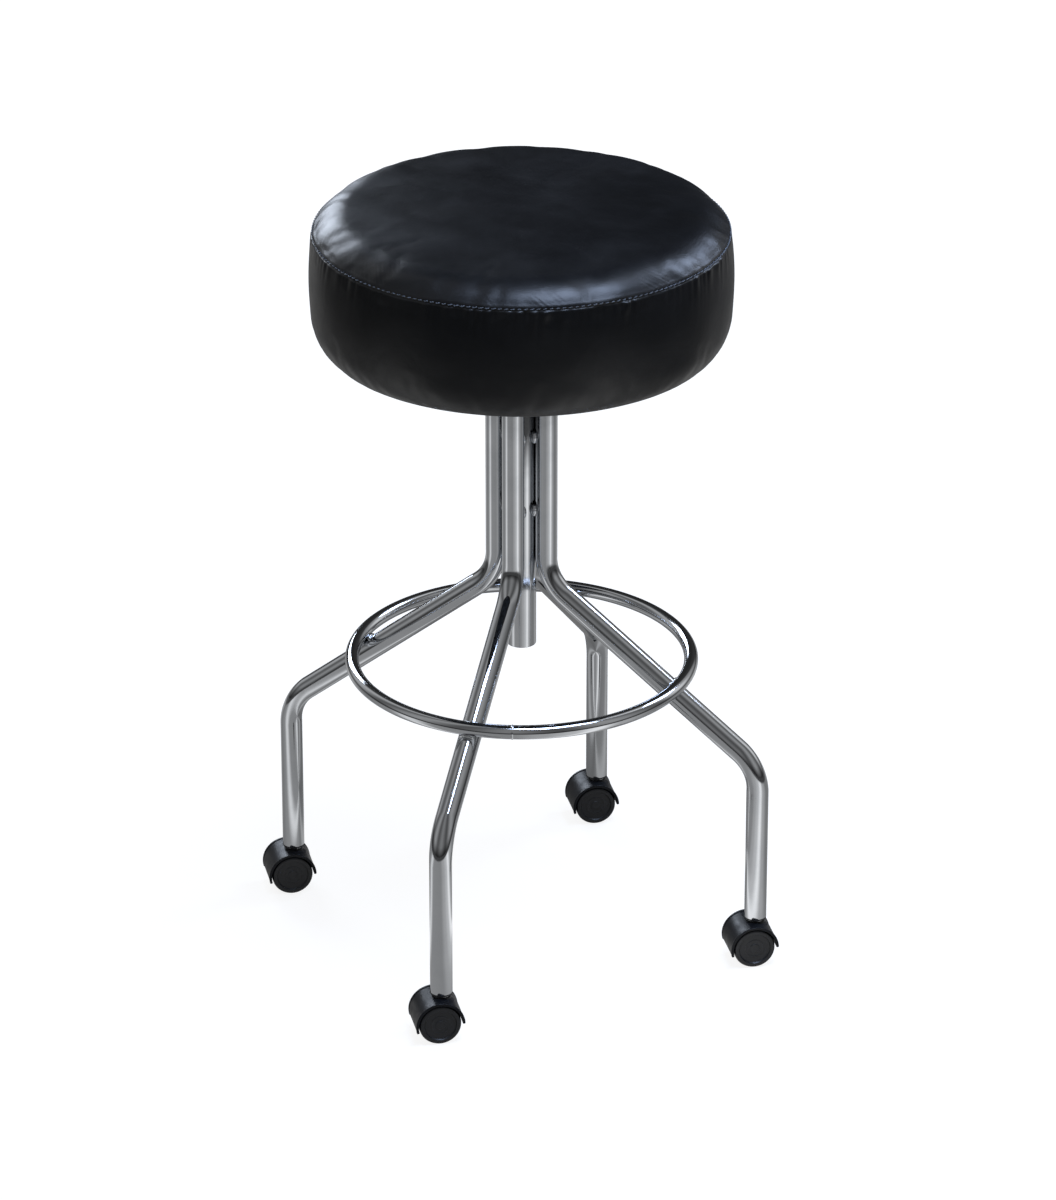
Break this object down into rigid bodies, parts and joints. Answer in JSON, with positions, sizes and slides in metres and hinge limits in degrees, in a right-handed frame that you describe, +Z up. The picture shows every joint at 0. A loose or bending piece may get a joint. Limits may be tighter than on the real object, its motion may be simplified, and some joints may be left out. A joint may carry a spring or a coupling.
{
  "type": "medical stool",
  "caption": "Round padded stool on a screw spindle, with bent chrome legs, a foot ring and hooded twin-wheel casters.",
  "frame": {"origin": "on the floor, on the spindle's axis", "axes": "+Z up along the spindle, the front leg along -Y and the right leg along +X"},
  "size_m": [0.4771, 0.4753, 0.67],
  "materials": {
    "chrome_plated_steel": "polished",
    "zinc_plated_steel": "satin",
    "black_painted_steel": "satin",
    "black_plastic": "matte",
    "natural_nylon": "satin",
    "caster_nylon": "satin",
    "wheel_nylon": "satin",
    "black_vinyl": "satin",
    "black_cloth": "matte",
    "foam": "matte",
    "plywood": "matte"
  },
  "bodies": {
    "frame": {"hub_tube": "chrome_plated_steel", "leg_right": "chrome_plated_steel", "leg_back": "chrome_plated_steel", "leg_left": "chrome_plated_steel", "leg_front": "chrome_plated_steel", "foot_ring": "chrome_plated_steel", "ring_welds": "chrome_plated_steel", "hub_welds": "chrome_plated_steel", "leg_top_plugs": "black_plastic", "hub_end_plug": "black_plastic", "caster_sockets": "black_plastic", "spindle_nut": "zinc_plated_steel"},
    "spindle_guide": {"spindle_guide": "natural_nylon"},
    "seat": {"spindle": "zinc_plated_steel", "guide_bolt": "zinc_plated_steel", "guide_washer": "zinc_plated_steel", "seat_plate": "black_painted_steel", "plate_weld": "black_painted_steel", "plate_screws": "zinc_plated_steel", "tee_nuts": "zinc_plated_steel", "seat_board": "plywood", "seat_foam": "foam", "seat_top_panel": "black_vinyl", "seat_side_band": "black_vinyl", "dust_cover": "black_cloth"},
    "caster_right": {"caster_right_hood": "caster_nylon", "caster_right_stem": "zinc_plated_steel", "caster_right_grip_ring": "zinc_plated_steel", "caster_right_axle": "zinc_plated_steel"},
    "caster_right_wheel_a": {"caster_right_wheel_a": "wheel_nylon"},
    "caster_right_wheel_b": {"caster_right_wheel_b": "wheel_nylon"},
    "caster_back": {"caster_back_hood": "caster_nylon", "caster_back_stem": "zinc_plated_steel", "caster_back_grip_ring": "zinc_plated_steel", "caster_back_axle": "zinc_plated_steel"},
    "caster_back_wheel_a": {"caster_back_wheel_a": "wheel_nylon"},
    "caster_back_wheel_b": {"caster_back_wheel_b": "wheel_nylon"},
    "caster_left": {"caster_left_hood": "caster_nylon", "caster_left_stem": "zinc_plated_steel", "caster_left_grip_ring": "zinc_plated_steel", "caster_left_axle": "zinc_plated_steel"},
    "caster_left_wheel_a": {"caster_left_wheel_a": "wheel_nylon"},
    "caster_left_wheel_b": {"caster_left_wheel_b": "wheel_nylon"},
    "caster_front": {"caster_front_hood": "caster_nylon", "caster_front_stem": "zinc_plated_steel", "caster_front_grip_ring": "zinc_plated_steel", "caster_front_axle": "zinc_plated_steel"},
    "caster_front_wheel_a": {"caster_front_wheel_a": "wheel_nylon"},
    "caster_front_wheel_b": {"caster_front_wheel_b": "wheel_nylon"}
  },
  "joints": [
    {"name": "seat_lift", "type": "slide", "parent": "frame", "child": "spindle_guide", "axis": [0, 0, 1], "range_m": [-0.025, 0.125]},
    {"name": "seat_turn", "type": "hinge", "parent": "spindle_guide", "child": "seat", "pos_m": [0, 0, 0.5], "axis": [0, 0, 1], "range_deg": [-1800, 9000]},
    {"name": "caster_right_swivel", "type": "hinge", "parent": "frame", "child": "caster_right", "pos_m": [0.212, 0, 0.04], "axis": [0, 0, 1], "continuous": true},
    {"name": "caster_right_wheel_a_spin", "type": "hinge", "parent": "caster_right", "child": "caster_right_wheel_a", "pos_m": [0.20855, -0.00203, 0.018], "axis": [-0.5075, 0.8616, 0], "continuous": true},
    {"name": "caster_right_wheel_b_spin", "type": "hinge", "parent": "caster_right", "child": "caster_right_wheel_b", "pos_m": [0.20855, -0.00203, 0.018], "axis": [-0.5075, 0.8616, 0], "continuous": true},
    {"name": "caster_back_swivel", "type": "hinge", "parent": "frame", "child": "caster_back", "pos_m": [0, 0.212, 0.04], "axis": [0, 0, 1], "continuous": true},
    {"name": "caster_back_wheel_a_spin", "type": "hinge", "parent": "caster_back", "child": "caster_back_wheel_a", "pos_m": [-0.00345, 0.20997, 0.018], "axis": [-0.5075, 0.8616, 0], "continuous": true},
    {"name": "caster_back_wheel_b_spin", "type": "hinge", "parent": "caster_back", "child": "caster_back_wheel_b", "pos_m": [-0.00345, 0.20997, 0.018], "axis": [-0.5075, 0.8616, 0], "continuous": true},
    {"name": "caster_left_swivel", "type": "hinge", "parent": "frame", "child": "caster_left", "pos_m": [-0.212, 0, 0.04], "axis": [0, 0, 1], "continuous": true},
    {"name": "caster_left_wheel_a_spin", "type": "hinge", "parent": "caster_left", "child": "caster_left_wheel_a", "pos_m": [-0.21545, -0.00203, 0.018], "axis": [-0.5075, 0.8616, 0], "continuous": true},
    {"name": "caster_left_wheel_b_spin", "type": "hinge", "parent": "caster_left", "child": "caster_left_wheel_b", "pos_m": [-0.21545, -0.00203, 0.018], "axis": [-0.5075, 0.8616, 0], "continuous": true},
    {"name": "caster_front_swivel", "type": "hinge", "parent": "frame", "child": "caster_front", "pos_m": [0, -0.212, 0.04], "axis": [0, 0, 1], "continuous": true},
    {"name": "caster_front_wheel_a_spin", "type": "hinge", "parent": "caster_front", "child": "caster_front_wheel_a", "pos_m": [-0.00345, -0.21403, 0.018], "axis": [-0.5075, 0.8616, 0], "continuous": true},
    {"name": "caster_front_wheel_b_spin", "type": "hinge", "parent": "caster_front", "child": "caster_front_wheel_b", "pos_m": [-0.00345, -0.21403, 0.018], "axis": [-0.5075, 0.8616, 0], "continuous": true}
  ],
  "couplings": [
    {"joint": "seat_lift", "follows": "seat_turn", "m_per_rad": 0.00079577}
  ]
}
